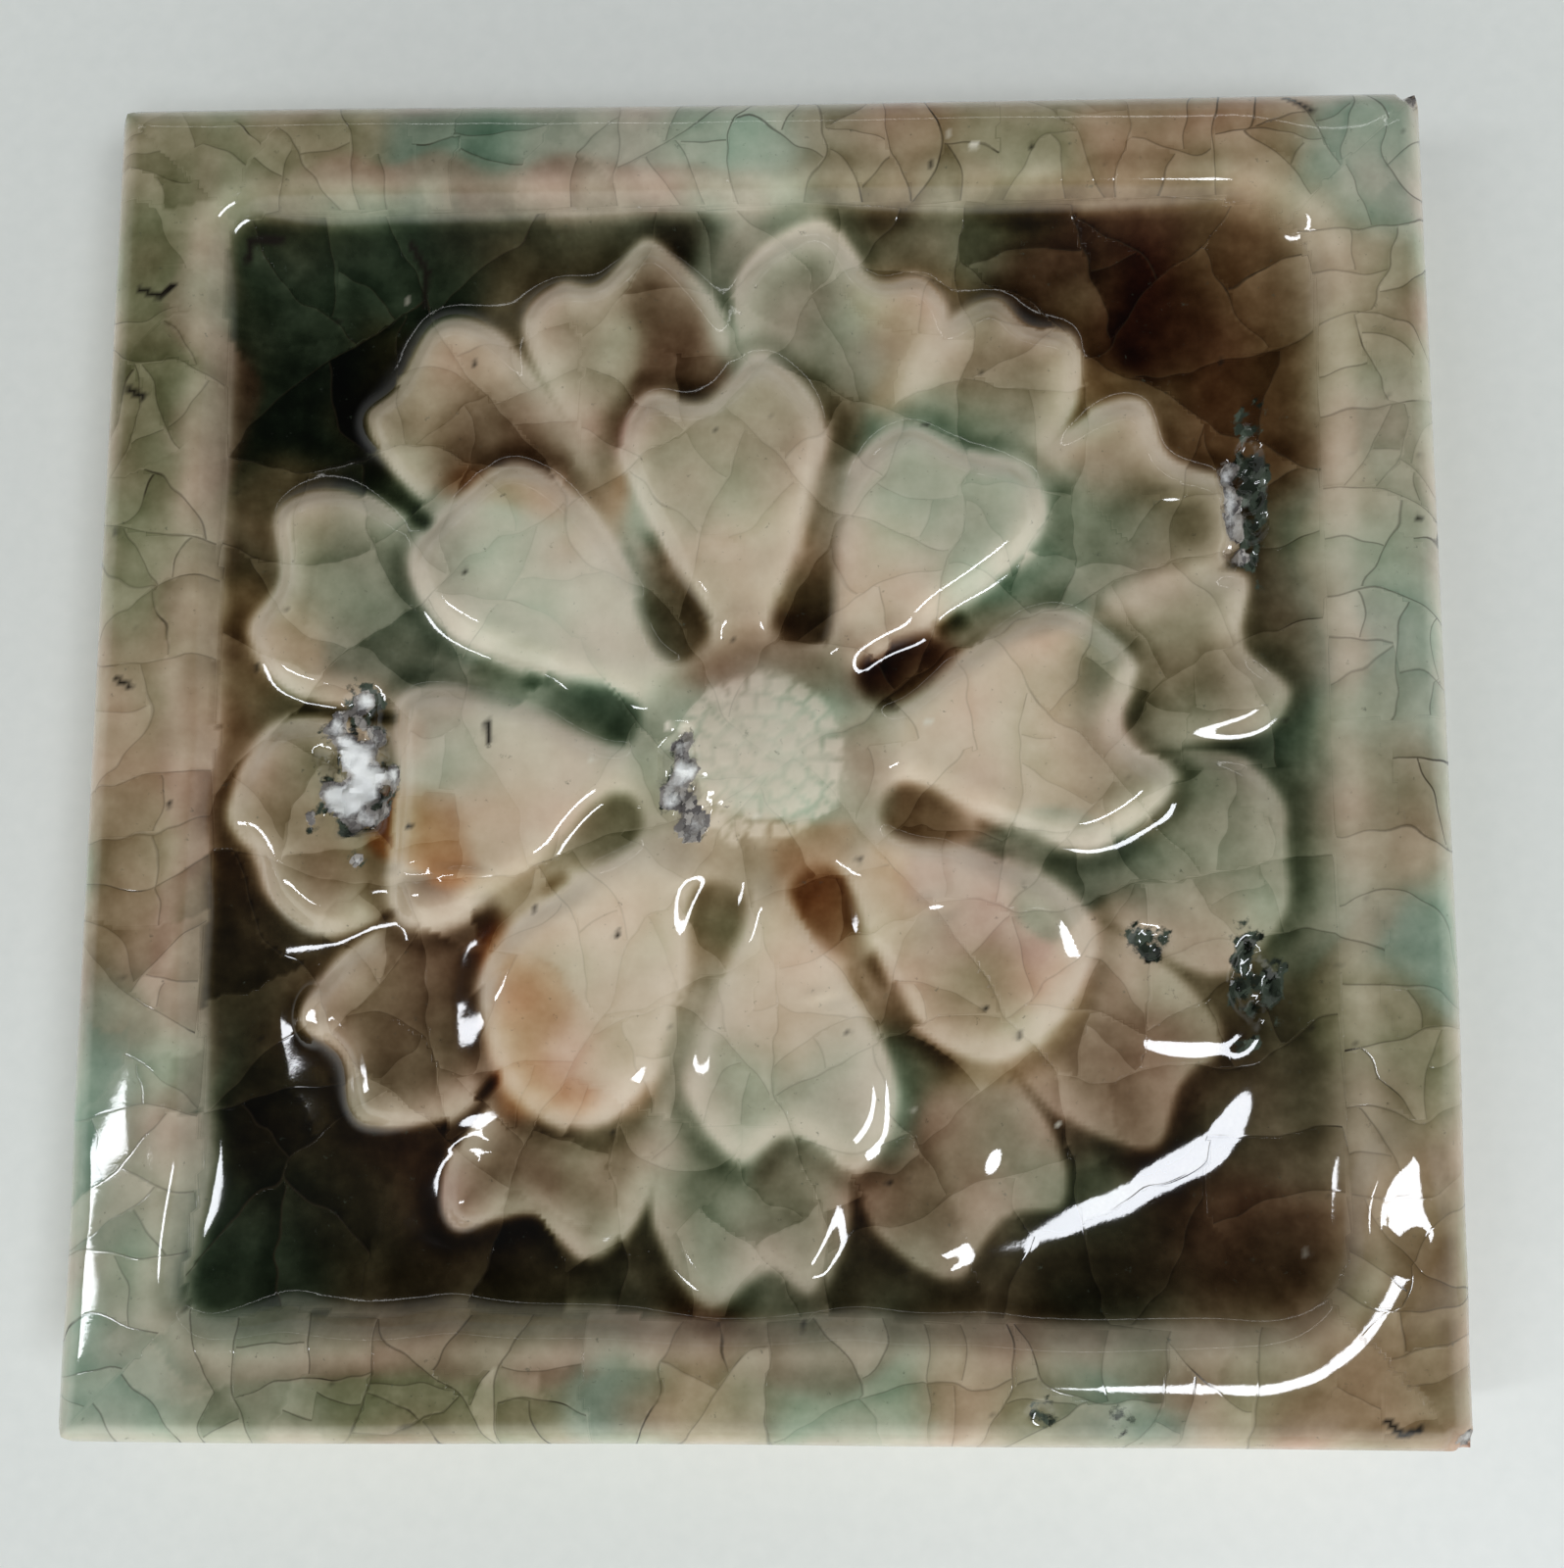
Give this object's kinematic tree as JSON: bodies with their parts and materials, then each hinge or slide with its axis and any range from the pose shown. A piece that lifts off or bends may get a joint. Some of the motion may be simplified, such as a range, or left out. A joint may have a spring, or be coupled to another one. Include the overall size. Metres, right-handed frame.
{
  "type": "relief ceramic tile",
  "caption": "Small square glazed relief tile: a raised frame round a sunk panel that holds a layered flower rosette with a beaded button.",
  "frame": {"origin": "middle of the flat back, which is bedded on the wall", "axes": "+Z out of the modelled face, +Y to the top of the tile as pictured, +X to its right"},
  "size_m": [0.0762, 0.0762, 0.0112],
  "materials": {
    "glaze": "gloss glaze, mottled green, brown and cream, crazed"
  },
  "bodies": {
    "root": {"tile": "glaze"}
  },
  "joints": []
}
